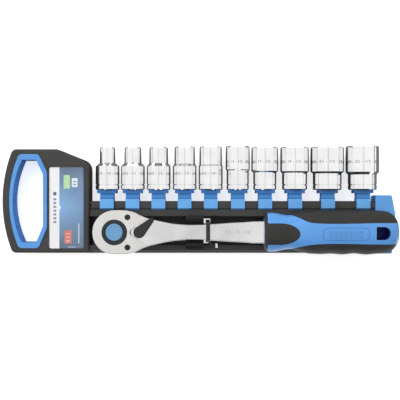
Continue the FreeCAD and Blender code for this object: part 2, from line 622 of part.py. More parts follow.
def ratchet_body():
    axis = size("tool_side")
    centre = size("gear_centre")
    pivot = size("gear_centre + lever_out")
    head_low = size("head_low")
    seat = size("plate_seat")
    shank_low = size("shank_low")
    shank_high = size("shank_high")
    body = tool_plan(head_low, shank_high)
    for level in (shank_high, head_low):
        body = body.makeFillet(0.7, [e for e in body.Edges if flat_at(level)(e)])
    # underside steps up from the head to the shank along a slope
    under = Part.Face(Part.makePolygon([
        Vector(-52, axis - 40, head_low - 1), Vector(-44, axis - 40, shank_low),
        Vector(70, axis - 40, shank_low), Vector(70, axis - 40, head_low - 1),
        Vector(-52, axis - 40, head_low - 1)])).extrude(Vector(0, 80, 0))
    body = body.cut(under)
    # seat for the cover plate
    above = Part.makeBox(58, 60, 5, Vector(-100, axis - 30, seat))
    body = body.cut(above.cut(notch(seat - 1, seat + 6)))
    # a fine gap runs round the bay, between the plate and the land that the lever sits on
    gap = size("bay_gap")
    trench = notch(seat - 1.2, seat + 6, gap).cut(notch(seat - 2, seat + 7))
    body = body.cut(trench.common(Part.makeBox(58, 60, 20, Vector(-100, axis - 30, seat - 5))))
    # gear chamber, hub bore, pawl pocket and lever bore
    body = body.cut(post(size("gear_tip + 0.4"), shank_low, seat + 2, centre, axis))
    body = body.cut(post(size("hub_round + run_gap"), head_low - 1, shank_low, centre, axis))
    body = body.cut(sector(size("gear_tip"), size("pawl_outer + 0.25"), 42, 0, shank_low, seat))
    body = body.cut(post(size("lever_shaft + run_gap"), size("lever_shaft_low - 0.3"),
                         shank_high + 1, pivot, axis))
    body = body.cut(Part.makeBox(4.5, 4.4, 5.0, Vector(pivot - 5.5, axis - 2.2, 31.0)))
    body = body.cut(post(size("lever_shaft + 0.8"), 31.8, 35.2, pivot, axis))
    for x, y in screw_places():
        body = body.cut(post(size("screw_shank + 0.05"), 30.0, seat + 1, x, y))
    # tang that runs inside the handle
    length = size("tang_end - shank_end")
    wide = size("tang_wide")
    thick = size("tang_thick")
    tang = Part.makeBox(length + 2, wide, thick, Vector(size("shank_end") - 2, axis - wide / 2,
                                                        size("tool_high") - thick / 2))
    body = body.fuse(tang).removeSplitter()
    parts.append(solid_part("ratchet_body", body))


def head_cover():
    axis = size("tool_side")
    centre = size("gear_centre")
    seat = size("plate_seat")
    top = size("plate_top")
    plate = tool_plan(seat, top)
    plate = plate.makeFillet(0.9, [e for e in plate.Edges if flat_at(top)(e)])
    plate = plate.cut(notch(seat - 1, top + 1, size("bay_gap")))
    plate = plate.common(Part.makeBox(58, 60, 20, Vector(-100, axis - 30, seat - 1)))
    plate = plate.cut(post(size("hub_round + 0.15"), seat - 1, top + 1, centre, axis))
    for x, y in screw_places():
        plate = plate.cut(post(size("screw_shank + 0.05"), seat - 1, top, x, y))
        plate = plate.cut(post(size("screw_head + 0.1"), top - 1.3, top + 1, x, y))
    solids = sorted(plate.Solids, key=lambda s: s.Volume)
    parts.append(solid_part("head_cover", solids[-1]))


def cover_screws():
    top = size("plate_top")
    screws = []
    for x, y in screw_places():
        screw = post(size("screw_head"), top - 1.3, top - 0.1, x, y)
        screw = screw.makeChamfer(0.3, [e for e in screw.Edges if flat_at(top - 0.1)(e)])
        screw = screw.fuse(post(size("screw_shank"), 30.4, top - 1.3, x, y))
        key = prism([(x + 1.25 * math.cos(math.radians(60 * k)),
                      y + 1.25 * math.sin(math.radians(60 * k))) for k in range(6)],
                    top - 0.9, top)
        screws.append(screw.cut(key))
    parts.append(solid_part("cover_screws", Part.makeCompound(screws)))


def toothed_disc(tip, deep, teeth, low, high, x, y):
    step = 2 * math.pi / teeth
    points = []
    for k in range(teeth):
        for part, radius in ((0.0, tip - deep), (0.35, tip), (0.65, tip)):
            angle = (k + part) * step
            points.append((x + radius * math.cos(angle), y + radius * math.sin(angle)))
    return prism(points, low, high)


def drive_gear():
    axis = size("tool_side")
    centre = size("gear_centre")
    teeth = int(size("gear_teeth"))
    gear = toothed_disc(size("gear_tip"), size("tooth_deep"), teeth, size("gear_low"),
                        size("gear_high"), centre, axis)
    gear = gear.fuse(post(size("hub_round"), size("head_low"), size("hub_top"), centre, axis))
    side = size("square_side")
    low = size("square_low")
    square = Part.makeBox(side, side, size("head_low") - low + 0.5,
                          Vector(centre - side / 2, axis - side / 2, low))
    square = square.makeChamfer(0.8, [e for e in square.Edges if flat_at(low)(e)])
    square = square.makeFillet(0.7, [e for e in square.Edges if upright(e)])
    gear = gear.fuse(square)
    gear = gear.cut(post(size("pin_round + 0.08"), low + 1.4, size("hub_top") + 1, centre, axis))
    gear = gear.cut(post(size("spring_bore"), size("spring_floor"), size("hub_top") + 1,
                         centre, axis))
    ball_hole = Part.makeCylinder(size("ball_round + 0.06"), side / 2 + 1,
                                  Vector(centre, axis, size("ball_high")), Vector(0, -1, 0))
    gear = gear.cut(ball_hole).removeSplitter()
    parts.append(solid_part("drive_gear", gear))


def turned_ring(body_name, points):
    """A turned piece on the gear's axis, from (radius, height) expressions."""
    body = new_body(body_name, Placement(Vector(size("gear_centre"), size("tool_side"), 0),
                                         Rotation()))
    sketch = new_sketch(body, f"{body_name}_profile", "XZ_Plane")
    outline(sketch, points)
    turned = body.newObject("PartDesign::Revolution", f"{body_name}_turned")
    turned.Profile = sketch
    turned.ReferenceAxis = (sketch, ["V_Axis"])
    turned.Angle = 360.0
    doc.recompute()
    parts.append(body)


def quick_release():
    turned_ring("gear_collar", [
        ("collar_bore", "hub_top"), ("hub_round", "hub_top"), ("hub_round", "collar_high - 0.5"),
        ("hub_round - 0.5", "collar_high"), ("collar_bore + 0.6", "collar_high"),
        ("collar_bore", "collar_high - 0.6")])
    turned_ring("release_button", [
        ("pin_round", "button_hub_low"), ("button_hub", "button_hub_low"),
        ("button_hub", "button_top - button_cap"), ("button_round", "button_top - button_cap"),
        ("button_round", "button_top - 0.7"), ("button_round - 0.7", "button_top"),
        ("button_round - 1.6", "button_top"), ("button_round - 2.0", "button_top - 0.25"),
        ("0", "button_top - 0.25"), ("0", "button_top - 0.8"), ("pin_round", "button_top - 0.8")])
    turned_ring("release_pin", [
        ("0", "pin_low"), ("pin_round - 0.4", "pin_low"), ("pin_round", "pin_low + 0.4"),
        ("pin_round", "pin_cone_low"), ("pin_waist", "pin_cone_high"),
        ("pin_waist", "pin_cone_high + 2.6"), ("pin_round", "pin_cone_high + 3.6"),
        ("pin_round", "button_top - 0.8"), ("0", "button_top - 0.8")])
    axis = size("tool_side")
    centre = size("gear_centre")
    parts.append(solid_part("button_spring", coil(
        3.6, 0.3, size("button_hub_low - spring_floor") - 0.8, 4, Vector(
            centre, axis, size("spring_floor") + 0.4), Vector(0, 0, 1))))
    ball = Part.makeSphere(size("ball_round"))
    place = Placement(Vector(centre, axis - size("ball_out"), size("ball_high")), Rotation())
    parts.append(solid_part("detent_ball", ball, place))


def coil(radius, wire, length, turns, start, along):
    """A round-wire compression spring."""
    helix = Part.makeHelix(length / turns, length, radius)
    ring = Part.Wire(Part.makeCircle(wire, Vector(radius, 0, 0), Vector(0, 1, 0)))
    spring = Part.Wire(helix.Edges).makePipeShell([ring], True, True)
    spring.Placement = Placement(start, Rotation(Vector(0, 0, 1), along))
    return spring


def selector():
    """Pawl beside the gear, and the lever that shifts it through a sprung plunger."""
    axis = size("tool_side")
    centre = size("gear_centre")
    pivot = size("gear_centre + lever_out")
    low = size("gear_low")
    high = size("gear_high")
    inner = size("pawl_inner")
    pawl_turn = 8.0
    pawl = sector(inner - 0.5, size("pawl_outer"), 29.0, pawl_turn, low, high)
    teeth = int(size("gear_teeth"))
    relief = toothed_disc(inner + size("tooth_deep"), size("tooth_deep"), teeth, low - 1, high + 1,
                          centre, axis)
    parts.append(solid_part("pawl", pawl.cut(relief)))

    lever_low = size("lever_low")
    lever_high = size("lever_high")
    tip = size("lever_tip")
    big = size("lever_round")
    small = size("lever_tip_round")
    lean = math.asin((big - small) / tip)
    sides = []
    for sign in (1, -1):
        angle = sign * (math.pi / 2 - lean)
        sides.append(((big * math.cos(angle), big * math.sin(angle)),
                      (tip + small * math.cos(angle), small * math.sin(angle))))
    web = prism([sides[0][0], sides[0][1], sides[1][1], sides[1][0]], lever_low, lever_high)
    lever = web.fuse(post(big, lever_low, lever_high, 0, 0))
    lever = lever.fuse(post(small, lever_low, lever_high, tip, 0)).removeSplitter()
    lever = lever.makeFillet(0.7, [e for e in lever.Edges if flat_at(lever_high)(e)])
    shaft_low = size("lever_shaft_low")
    lever = lever.fuse(post(size("lever_shaft"), shaft_low, lever_low, 0, 0))
    bore = Part.makeCylinder(1.3, 4.0, Vector(0.6, 0, 33.5), Vector(-1, 0, 0))
    lever = lever.cut(bore)
    rest = Placement(Vector(pivot, axis, 0), Rotation(Vector(0, 0, 1), 45))
    parts.append(solid_part("selector_lever", lever, rest))
    plunger = Part.makeCylinder(1.2, 1.5, Vector(-1.4, 0, 33.5), Vector(-1, 0, 0))
    plunger = plunger.makeFillet(0.5, [e for e in plunger.Edges
                                       if e.BoundBox.XLength < 1e-4 and e.BoundBox.XMin < -2.8])
    parts.append(solid_part("selector_plunger", plunger, rest))
    spring = coil(0.75, 0.16, 1.4, 3, Vector(0.3, 0, 33.5), Vector(-1, 0, 0))
    parts.append(solid_part("selector_spring", spring, rest))


# ---------------------------------------------------------------- handle

# distance from the handle's front, half width, half thickness
HANDLE_PROFILE = [
    (0.0, 14.4, 10.8), (1.2, 15.8, 12.1), (4.5, 17.0, 13.1), (9.0, 17.1, 13.2),
    (15.0, 16.0, 12.7), (21.5, 15.0, 12.3), (28.0, 16.1, 12.8), (35.0, 18.1, 13.7),
    (44.0, 19.2, 14.1), (56.0, 19.3, 14.2), (70.0, 19.3, 14.2), (84.0, 19.3, 14.1),
    (98.0, 19.3, 14.0), (106.0, 18.6, 13.5), (111.5, 16.6, 12.2), (115.3, 13.0, 9.9),
    (117.4, 8.8, 7.2), (118.2, 4.6, 4.4),
]


def handle_stations():
    """Evenly spaced stations along the profile, with shallow finger scallops in the grip."""
    curve = Part.BSplineCurve()
    curve.interpolate(Points=[Vector(*row) for row in HANDLE_PROFILE])
    edge = curve.toShape()
    count = int(size("handle_rings"))
    first = size("scallop_start")
    last = size("scallop_end")
    stations = []
    for point in edge.discretize(count):
        along, half, thick = point
        if first < along < last:
            fade = math.sin(math.pi * (along - first) / (last - first))
            wave = math.cos(2 * math.pi * (along - first) / size("scallop_pitch"))
            half += size("scallop_deep") * wave * fade
        stations.append((along, half, thick))
    return stations


def handle_form(cut=0.0, first=0.0, last=200.0):
    """The handle's outer form, or one thinner by the given cut between two stations. Its
    seam runs along the underside, beside the hang hole."""
    axis = size("tool_side")
    high = size("tool_high")
    start = size("handle_start")
    seam = math.radians(size("seam_angle"))
    square = size("handle_square")
    steps = 24
    rings = []
    for along, half, thick in handle_stations():
        if not first <= along <= last:
            continue
        ring = []
        for k in range(steps):
            angle = 2 * math.pi * k / steps + seam
            c = math.cos(angle)
            s = math.sin(angle)
            y = (half - cut) * math.copysign(abs(c) ** square, c)
            z = (thick - cut) * math.copysign(abs(s) ** square, s)
            ring.append(Vector(start + along, axis + y, high + z))
        curve = Part.BSplineCurve()
        curve.interpolate(Points=ring, PeriodicFlag=True,
                          Parameters=[float(k) for k in range(steps + 1)])
        rings.append(Part.Wire(curve.toShape()))
    return Part.makeLoft(rings, True, False)


def spine_plan(low, high):
    """Plan of the blue part of the handle: wide at the front, a band towards the end."""
    axis = size("tool_side")
    start = size("handle_start")
    middle = axis + size("spine_shift")
    shoulders = {1: [(21.5, 17.6), (26.0, 15.4), (31.4, 13.2), (36.0, 10.9)],
                 -1: [(21.5, 13.9), (26.0, 12.8), (31.4, 11.5), (36.0, 10.5)]}
    band = [(40.5, 9.6), (47.0, 9.0), (54.0, 8.75), (70.0, 8.7), (125.0, 8.7)]
    sides = []
    for sign, shoulder in shoulders.items():
        points = [Vector(start + along, middle + sign * half, low)
                  for along, half in shoulder + band]
        curve = Part.BSplineCurve()
        curve.interpolate(Points=points)
        sides.append(curve.toShape())
    ends = []
    front = start - 2
    edge = 25.0
    corners = [sides[0].Vertexes[0].Point, Vector(start + 21.5, axis + edge, low),
               Vector(front, axis + edge, low), Vector(front, axis - edge, low),
               Vector(start + 21.5, axis - edge, low), sides[1].Vertexes[0].Point]
    for a, b in zip(corners, corners[1:]):
        ends.append(Part.makeLine(a, b))
    close = Part.makeLine(sides[0].Vertexes[-1].Point, sides[1].Vertexes[-1].Point)
    wire = Part.Wire(Part.__sortEdges__(ends + sides + [close]))
    return Part.Face(wire).extrude(Vector(0, 0, high - low))


def pad_plan(low, high):
    """Plan of the thumb pad's strip, with its round nose."""
    axis = size("tool_side")
    start = size("pad_start")
    nose = size("pad_nose")
    half = size("pad_half")
    middle = axis - 1.4
    shoulder = nose - size("pad_taper")
    ellipse = Part.Ellipse(Vector(shoulder, middle, low), nose - shoulder, half)
    edges = [
        Part.makeLine(Vector(start - 1, middle - half, low), Vector(shoulder, middle - half, low)),
        Part.ArcOfEllipse(ellipse, -math.pi / 2, math.pi / 2).toShape(),
        Part.makeLine(Vector(shoulder, middle + half, low), Vector(start - 1, middle + half, low)),
        Part.makeLine(Vector(start - 1, middle + half, low), Vector(start - 1, middle - half, low))]
    return Part.Face(Part.Wire(edges)).extrude(Vector(0, 0, high - low))


def rounded_bar(x_low, x_high, y_mid, half, radius, low, high):
    bar = Part.makeBox(x_high - x_low, 2 * half, high - low, Vector(x_low, y_mid - half, low))
    return bar.makeFillet(radius, [e for e in bar.Edges if upright(e)])


def handle():
    axis = size("tool_side")
    high = size("tool_high")
    bottom = high - 20
    top = high + 20
    outer = handle_form()
    wall = size("grip_wall")
    inner = handle_form(wall, 10.0, 114.0)

    # hang hole: flat on its left side, round on its right
    hang_mid = axis + size("hang_shift")
    half = size("hang_wide") / 2
    left = size("hang_left")
    right = size("hang_right")
    hang = Part.makeBox(right - half - left, 2 * half, 40, Vector(left, hang_mid - half, bottom))
    hang = hang.makeFillet(1.0, [e for e in hang.Edges if upright(e)
                                 and e.BoundBox.XMin < left + 0.1])
    hang = hang.fuse(post(half, bottom, bottom + 40, right - half, hang_mid))

    collar_zone = Part.makeBox(size("pad_start") - size("handle_start") + 1, 60, 40,
                               Vector(size("handle_start") - 1, axis - 30, bottom))
    skin = outer.cut(handle_form(2.2))
    pad_zone = pad_plan(high, top).fuse(collar_zone)
    thumb = skin.common(pad_zone)
    tang = Part.makeBox(size("tang_end - handle_start") + 1, size("tang_wide"),
                        size("tang_thick"),
                        Vector(size("handle_start") - 1, axis - size("tang_wide") / 2,
                               high - size("tang_thick") / 2))
    # the shank's own end sits inside the collar
    shank_tip = tool_plan(size("shank_low"), size("shank_high"))

    spine = outer.common(spine_plan(bottom, top))
    core = spine.fuse(inner)
    core = core.cut(skin.common(pad_zone)).cut(tang).cut(shank_tip)
    line = size("emboss_line")
    ring = rounded_bar(size("emboss_left"), size("emboss_right"), axis - 1.5,
                       size("emboss_high"), 4.0, high, top)
    ring = ring.cut(rounded_bar(size("emboss_left") + line, size("emboss_right") - line,
                                axis - 1.5, size("emboss_high") - line, 4.0 - line, high, top))
    deep = size("emboss_deep")
    groove = ring.cut(handle_form(deep))
    core = core.cut(groove).cut(hang)
    core = max(core.Solids, key=lambda s: s.Volume)
    parts.append(solid_part("handle_core", core.removeSplitter()))

    grip = outer.cut(spine_plan(bottom, top)).cut(inner).cut(hang)
    sides = [s for s in grip.Solids if s.Volume > 100]
    sides.sort(key=lambda s: -s.CenterOfMass.y)
    parts.append(solid_part("handle_grip_left", sides[0]))
    parts.append(solid_part("handle_grip_right", sides[1]))

    for column in range(3):
        for line_up in range(3):
            x = size("pad_start") + 4.5 + 6.3 * column
            y = axis - 1.4 + 4.6 * (line_up - 1)
            shaft = Part.makeLine(Vector(x, y, high), Vector(x, y, top))
            hit = max(v.Z for v in outer.common(shaft).Vertexes)
            dot = Part.makeSphere(size("dot_round"), Vector(x, y, hit - 0.25))
            thumb = thumb.fuse(dot)
    thumb = thumb.cut(tang).cut(shank_tip)
    thumb = max(thumb.Solids, key=lambda s: s.Volume)
    parts.append(solid_part("thumb_pad", thumb))


# ---------------------------------------------------------------- build and write

rack_body()
carry_handle_liner()
label()
rail_end_cap()
ratchet_clip()
cable_tie()
for spec in SOCKETS:
    socket_clip(spec[0], spec[5])
for spec in SOCKETS:
    socket(*spec)
ratchet_body()
head_cover()
cover_screws()
drive_gear()
quick_release()
selector()
handle()
doc.recompute()

for item in doc.Objects:
    if "Invalid" in item.State or "Error" in item.State:
        raise RuntimeError(f"{item.Name} failed: {item.State}")
os.makedirs("parts", exist_ok=True)
for part in parts:
    shape = part.Shape
    if shape.isNull() or not shape.isValid():
        raise RuntimeError(f"{part.Label} has a bad shape")
    shape.exportStep(f"parts/{part.Label}.step")
    box = shape.BoundBox
    print(f"{part.Label:20s} solids {len(shape.Solids)} volume {shape.Volume:10.1f}  "
          f"x {box.XMin:7.1f} {box.XMax:7.1f}  y {box.YMin:6.1f} {box.YMax:6.1f}  "
          f"z {box.ZMin:5.1f} {box.ZMax:5.1f}")
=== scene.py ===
import math
import bpy
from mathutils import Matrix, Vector


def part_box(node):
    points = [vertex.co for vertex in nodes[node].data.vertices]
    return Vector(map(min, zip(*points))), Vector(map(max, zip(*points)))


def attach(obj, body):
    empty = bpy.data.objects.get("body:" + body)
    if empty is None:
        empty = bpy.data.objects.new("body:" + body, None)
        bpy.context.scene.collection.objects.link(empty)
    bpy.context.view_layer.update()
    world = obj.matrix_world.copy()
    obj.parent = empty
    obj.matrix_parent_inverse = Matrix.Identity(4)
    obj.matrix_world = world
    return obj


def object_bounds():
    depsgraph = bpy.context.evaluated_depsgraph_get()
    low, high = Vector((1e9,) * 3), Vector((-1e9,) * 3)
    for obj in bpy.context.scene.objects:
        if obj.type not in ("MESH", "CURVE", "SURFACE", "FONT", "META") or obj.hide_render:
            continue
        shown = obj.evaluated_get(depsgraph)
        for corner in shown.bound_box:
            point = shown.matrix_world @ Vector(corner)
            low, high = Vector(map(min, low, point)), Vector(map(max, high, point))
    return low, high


# Lengths are in metres. X runs along the rail, Y across it and Z up from the table.
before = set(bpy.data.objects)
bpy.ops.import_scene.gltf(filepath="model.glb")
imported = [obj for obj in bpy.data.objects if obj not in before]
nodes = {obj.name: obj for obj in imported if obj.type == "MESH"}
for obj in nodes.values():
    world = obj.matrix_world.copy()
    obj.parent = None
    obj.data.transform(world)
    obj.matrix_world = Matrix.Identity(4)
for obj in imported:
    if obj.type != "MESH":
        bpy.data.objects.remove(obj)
cad_low, cad_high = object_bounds()
scene = bpy.context.scene


# ---------------------------------------------------------------- node graphs

# most values of a noise texture lie between these two
NOISE_LOW = 0.3
NOISE_HIGH = 0.7

# the colour sockets of a Mix node, which has float and vector sockets too
MIX_A = 6
MIX_B = 7
MIX_RESULT = 2


class Graph:
    """A node tree under construction, with short calls for the nodes used here."""

    def __init__(self, tree):
        self.tree = tree

    def node(self, kind, **values):
        made = self.tree.nodes.new(kind)
        for key, value in values.items():
            setattr(made, key, value)
        return made

    def feed(self, socket, value):
        """Link a socket to another one, or give it a plain value."""
        if isinstance(value, bpy.types.NodeSocket):
            self.tree.links.new(value, socket)
        else:
            socket.default_value = value

    def math(self, operation, a, b=0.0):
        made = self.node("ShaderNodeMath", operation=operation)
        self.feed(made.inputs[0], a)
        self.feed(made.inputs[1], b)
        return made.outputs[0]

    def ramp(self, value, low, high, to_low=0.0, to_high=1.0, curve="LINEAR"):
        made = self.node("ShaderNodeMapRange", interpolation_type=curve)
        self.feed(made.inputs["Value"], value)
        self.feed(made.inputs["From Min"], low)
        self.feed(made.inputs["From Max"], high)
        self.feed(made.inputs["To Min"], to_low)
        self.feed(made.inputs["To Max"], to_high)
        return made.outputs["Result"]

    def split(self, vector):
        made = self.node("ShaderNodeSeparateXYZ")
        self.feed(made.inputs[0], vector)
        return made.outputs[0], made.outputs[1], made.outputs[2]


class Look(Graph):
    """A material: one Principled shader, fed from the piece's own coordinates."""

    def __init__(self, name):
        self.material = bpy.data.materials.new(name)
        self.material.use_nodes = True
        super().__init__(self.material.node_tree)
        self.shader = self.tree.nodes["Principled BSDF"]
        self.place = self.node("ShaderNodeTexCoord").outputs["Object"]

    def axes(self):
        return self.split(self.place)

    def noise(self, scale, detail=2.0, stretch=(1, 1, 1)):
        mapping = self.node("ShaderNodeMapping")
        mapping.inputs["Scale"].default_value = stretch
        self.feed(mapping.inputs["Vector"], self.place)
        made = self.node("ShaderNodeTexNoise")
        self.feed(made.inputs["Vector"], mapping.outputs[0])
        made.inputs["Scale"].default_value = scale
        made.inputs["Detail"].default_value = detail
        return made.outputs["Fac"]

    def spread(self, noise, to_low=0.0, to_high=1.0):
        """Stretch a noise over the whole of a range."""
        return self.ramp(noise, NOISE_LOW, NOISE_HIGH, to_low, to_high)

    def mix(self, factor, a, b):
        made = self.node("ShaderNodeMix", data_type="RGBA")
        self.feed(made.inputs["Factor"], factor)
        for socket, color in ((MIX_A, a), (MIX_B, b)):
            linked = isinstance(color, bpy.types.NodeSocket)
            self.feed(made.inputs[socket], color if linked else (*color, 1))
        return made.outputs[MIX_RESULT]

    def bump(self, height, strength, distance):
        made = self.node("ShaderNodeBump")
        made.inputs["Strength"].default_value = strength
        made.inputs["Distance"].default_value = distance
        self.feed(made.inputs["Height"], height)
        self.feed(self.shader.inputs["Normal"], made.outputs[0])

    def paint(self, color):
        self.feed(self.shader.inputs["Base Color"], color)

    def painted(self):
        """The colour that the shader takes so far."""
        return self.shader.inputs["Base Color"].links[0].from_socket

    def gloss(self, rough):
        self.feed(self.shader.inputs["Roughness"], rough)

    def set(self, **values):
        for key, value in values.items():
            self.feed(self.shader.inputs[key.replace("_", " ")], value)


def shade(color, factor):
    return tuple(min(1.0, c * factor) for c in color)


# ---------------------------------------------------------------- plastics and metals

# octaves of a noise, scales per metre, and ranges of noise that turn into a mark or a gloss
FINE_DETAIL = 4
COARSE_DETAIL = 3

PLASTIC_CLOUDS = 45
PLASTIC_SCUFFS = 220
PLASTIC_BUMP = 0.5
PLASTIC_GLOSS_SWING = (-0.04, 0.05)
SCUFF_STRETCH = (1, 6, 1)
SCUFF_RANGE = (0.62, 0.75)
SCUFF_GLOSS_LOSS = 0.12
FLECK_RANGE = (0.38, 0.66)
FLECK_LIGHTENING = 2.2

METAL_LINES = 160
METAL_CLOUDS = 70
METAL_BUMP = 0.35
LINE_GLOSS_SWING = (-0.03, 0.04)
CLOUD_RANGE = (0.35, 0.7)
CLOUD_GLOSS_SWING = (-0.01, 0.03)


def plastic(name, color, rough, grain, depth, patch=0.12, speck=0.1):
    """Moulded plastic: a spark-eroded grain, uneven gloss and faint handling marks."""
    look = Look(name)
    fine = look.noise(1 / grain, COARSE_DETAIL)
    cloud = look.noise(PLASTIC_CLOUDS, COARSE_DETAIL)
    flecks = look.ramp(fine, *FLECK_RANGE)
    base = look.mix(look.spread(cloud), shade(color, 1 - patch), shade(color, 1 + patch))
    look.paint(look.mix(look.math("MULTIPLY", flecks, speck), base,
                        shade(color, FLECK_LIGHTENING)))
    scuff = look.noise(PLASTIC_SCUFFS, FINE_DETAIL, SCUFF_STRETCH)
    uneven = look.spread(cloud, *(rough + swing for swing in PLASTIC_GLOSS_SWING))
    scuffed = look.ramp(scuff, *SCUFF_RANGE, 0.0, SCUFF_GLOSS_LOSS)
    look.gloss(look.math("ADD", uneven, scuffed))
    look.bump(fine, PLASTIC_BUMP, depth)
    return look


def metal(name, color, rough, stretch, depth, patch=0.05):
    """Plated steel: fine polishing lines along one direction and a cloudy polish."""
    look = Look(name)
    lines = look.noise(METAL_LINES, FINE_DETAIL, stretch)
    cloud = look.noise(METAL_CLOUDS, COARSE_DETAIL)
    look.paint(look.mix(look.spread(cloud), shade(color, 1 - patch), shade(color, 1 + patch)))
    polished = look.spread(lines, *(rough + swing for swing in LINE_GLOSS_SWING))
    look.gloss(look.math("ADD", polished, look.ramp(cloud, *CLOUD_RANGE, *CLOUD_GLOSS_SWING)))
    look.set(Metallic=1.0)
    look.bump(lines, METAL_BUMP, depth)
    return look


# ---------------------------------------------------------------- the printed label

LABEL_WHITE = (0.86, 0.86, 0.87)
LABEL_BLUE = (0.155, 0.375, 0.68)
LABEL_NAVY = (0.030, 0.075, 0.15)
LABEL_DUSK = (0.075, 0.165, 0.31)
LABEL_HAZE = (0.30, 0.46, 0.68)
BAR_INK = (0.20, 0.24, 0.31)
DOT_INK = (0.045, 0.075, 0.15)
GREEN = (0.45, 0.72, 0.36)
PALE_GREEN = (0.72, 0.86, 0.62)
PALE_GREY = (0.80, 0.84, 0.88)
GREY_INK = (0.16, 0.24, 0.36)
RED = (0.66, 0.15, 0.08)
PINK = (0.88, 0.55, 0.46)
RULE_BLUE = (0.62, 0.72, 0.86)

# the white band's edge, and the small pointer that it sends into the blue field
BAND_EDGE = 0.0090
POINTER_TIP = 0.0106
POINTER_HEIGHT = 0.0365
POINTER_SLOPE = 0.65

# the blue field is brightest at this share of the label's height, and duller to the right
BRIGHT_SHARE = 0.52
BRIGHT_REACH = (0.05, 0.5)
DUSK_START = 0.012
DUSK_AMOUNT = 0.55
HAZE_SCALE = 90
HAZE_RANGE = (0.35, 0.75)
HAZE_AMOUNT = 0.16

# the card's paper
FIBRE_SCALE = 2500
FIBRE_ROUGH = (0.42, 0.52)
FIBRE_BUMP = 0.15
FIBRE_DEPTH = 0.00002

# left, base, right, top from the card's corner: three cards with their lines, and two rules
LABEL_PANELS = [
    ((0.0128, 0.0534, 0.0184, 0.0656), GREEN),
    ((0.0142, 0.0560, 0.0170, 0.0566), PALE_GREEN),
    ((0.0142, 0.0590, 0.0170, 0.0596), PALE_GREEN),
    ((0.0201, 0.0549, 0.0252, 0.0629), PALE_GREY),
    ((0.0213, 0.0566, 0.0241, 0.0578), GREY_INK),
    ((0.0213, 0.0592, 0.0241, 0.0604), GREY_INK),
    ((0.0135, 0.0044, 0.0199, 0.0163), RED),
    ((0.0150, 0.0062, 0.0184, 0.0074), PINK),
    ((0.0150, 0.0098, 0.0184, 0.0106), PINK),
    ((0.0150, 0.0128, 0.0184, 0.0136), PINK),
    ((0.0259, 0.0047, 0.0268, 0.0223), RULE_BLUE),
    ((0.0166, 0.0011, 0.0234, 0.0016), RULE_BLUE),
]

# the row of short bars up the white band, and the square dot above it
BAR_COUNT = 7
BAR_LEFT = 0.0036
BAR_RIGHT = 0.0062
BAR_START = 0.0226
BAR_PITCH = 0.0034
BAR_TALL = 0.0020
DOT_PLACE = (0.0034, 0.0474, 0.0064, 0.0504)
PANEL_CORNER = 0.0009


def panel_mask(look, across, along, place):
    """1 inside a rounded rectangle of the card and 0 outside."""
    left, base, right, top = place
    corner = min(PANEL_CORNER, (right - left) / 3, (top - base) / 3)
    squares = []
    for value, start, end in ((across, left, right), (along, base, top)):
        off = look.math("ABSOLUTE", look.math("SUBTRACT", value, (start + end) / 2))
        past = look.math("SUBTRACT", off, (end - start) / 2 - corner)
        past = look.math("MAXIMUM", past, 0.0)
        squares.append(look.math("MULTIPLY", past, past))
    distance = look.math("SQRT", look.math("ADD", *squares))
    return look.math("LESS_THAN", distance, corner)


def blue_field(look, across, along, wide, tall):
    """The label's blue ground: bright in the middle, dark at its ends, a little hazy."""
    share = look.math("DIVIDE", along, tall)
    off_middle = look.math("ABSOLUTE", look.math("SUBTRACT", share, BRIGHT_SHARE))
    field = look.mix(look.ramp(off_middle, *BRIGHT_REACH), LABEL_BLUE, LABEL_NAVY)
    to_right = look.ramp(across, DUSK_START, wide)
    field = look.mix(look.math("MULTIPLY", to_right, DUSK_AMOUNT), field, LABEL_DUSK)
    haze = look.ramp(look.noise(HAZE_SCALE, FINE_DETAIL), *HAZE_RANGE, 0.0, HAZE_AMOUNT)
    return look.mix(haze, field, LABEL_HAZE)


def label_print():
    """The printed insert: a white band with a small pointer, a blue field and plain panels."""
    look = Look("card_print")
    low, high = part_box("label_card")
    x, y, _ = look.axes()
    across = look.math("SUBTRACT", x, low.x)
    along = look.math("SUBTRACT", y, low.y)
    field = blue_field(look, across, along, high.x - low.x, high.y - low.y)

    from_tip = look.math("ABSOLUTE", look.math("SUBTRACT", along, POINTER_HEIGHT))
    tip = look.math("SUBTRACT", POINTER_TIP, look.math("MULTIPLY", from_tip, POINTER_SLOPE))
    edge = look.math("MAXIMUM", tip, BAND_EDGE)
    ink = look.mix(look.math("LESS_THAN", across, edge), field, LABEL_WHITE)

    panels = list(LABEL_PANELS)
    for step in range(BAR_COUNT):
        base = BAR_START + BAR_PITCH * step
        panels.append(((BAR_LEFT, base, BAR_RIGHT, base + BAR_TALL), BAR_INK))
    panels.append((DOT_PLACE, DOT_INK))
    for place, color in panels:
        ink = look.mix(panel_mask(look, across, along, place), ink, color)
    look.paint(ink)

    fibre = look.noise(FIBRE_SCALE, COARSE_DETAIL)
    look.gloss(look.spread(fibre, *FIBRE_ROUGH))
    look.bump(fibre, FIBRE_BUMP, FIBRE_DEPTH)
    return look


SHEEN_SCALE = 60
SHEEN_TINTS = ((0.93, 0.96, 1.0), (0.99, 1.0, 1.0))
SHEEN_ROUGH = (0.05, 0.12)
SHEEN_BUMP = 0.2
SHEEN_DEPTH = 0.0002
SHEET_OPACITY = 0.10


def clear_sheet():
    """The clear cover over the label."""
    look = Look("clear_sheet")
    sheen = look.noise(SHEEN_SCALE, COARSE_DETAIL)
    look.paint(look.mix(sheen, *SHEEN_TINTS))
    look.gloss(look.spread(sheen, *SHEEN_ROUGH))
    look.set(Alpha=SHEET_OPACITY)
    look.bump(sheen, SHEEN_BUMP, SHEEN_DEPTH)
    return look


# ---------------------------------------------------------------- looks that vary by place

